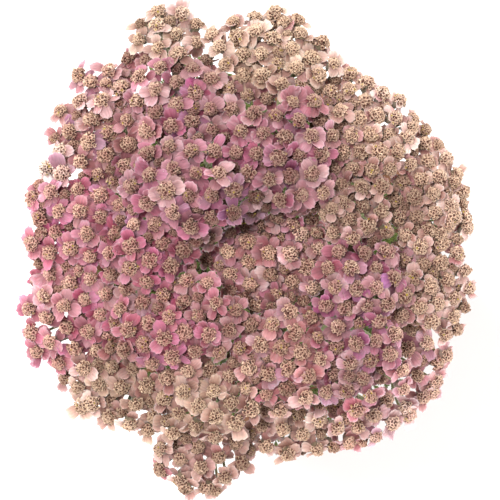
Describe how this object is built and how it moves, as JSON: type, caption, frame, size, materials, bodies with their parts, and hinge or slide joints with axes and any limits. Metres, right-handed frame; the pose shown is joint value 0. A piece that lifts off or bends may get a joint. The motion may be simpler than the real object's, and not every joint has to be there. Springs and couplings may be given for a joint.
{
  "type": "potted yarrow",
  "caption": "Flowering yarrow with flat-topped clusters of small pink and cream flowers on leafy stems, rooted in a plain clay pot.",
  "frame": {"origin": "middle of the pot's flat foot, where it rests", "axes": "+Z up along the pot's axis; seen from above, +X is right and +Y is up in the picture"},
  "size_m": [0.1413, 0.1509, 0.2683],
  "materials": {
    "clay": "matt",
    "soil": "matt",
    "stem": "satin",
    "flower": "matt"
  },
  "bodies": {
    "root": {"pot": "clay", "soil": "soil", "stem_knob": "stem", "head_knob": "flower", "stem_upper_left": "stem", "head_upper_left": "flower", "stem_left_upper": "stem", "head_left_upper": "flower", "stem_crown_left": "stem", "head_crown_left": "flower", "stem_left_mid": "stem", "head_left_mid": "flower", "stem_left_low": "stem", "head_left_low": "flower", "stem_inner_left": "stem", "head_inner_left": "flower", "stem_lower_left": "stem", "head_lower_left": "flower", "stem_bottom_left": "stem", "head_bottom_left": "flower", "stem_bottom_mid": "stem", "head_bottom_mid": "flower", "stem_bottom": "stem", "head_bottom": "flower", "stem_top": "stem", "head_top": "flower", "stem_crown_top": "stem", "head_crown_top": "flower", "stem_right_upper": "stem", "head_right_upper": "flower", "stem_right_rim": "stem", "head_right_rim": "flower", "stem_inner_right": "stem", "head_inner_right": "flower", "stem_hollow": "stem", "head_hollow": "flower", "stem_right_mid": "stem", "head_right_mid": "flower", "stem_lower_mid": "stem", "head_lower_mid": "flower", "stem_lower_right": "stem", "head_lower_right": "flower", "stem_right_low": "stem", "head_right_low": "flower", "stem_rim_right": "stem", "head_rim_right": "flower", "stem_rim_bottom": "stem", "head_rim_bottom": "flower", "stem_rim_corner": "stem", "head_rim_corner": "flower"}
  },
  "joints": []
}
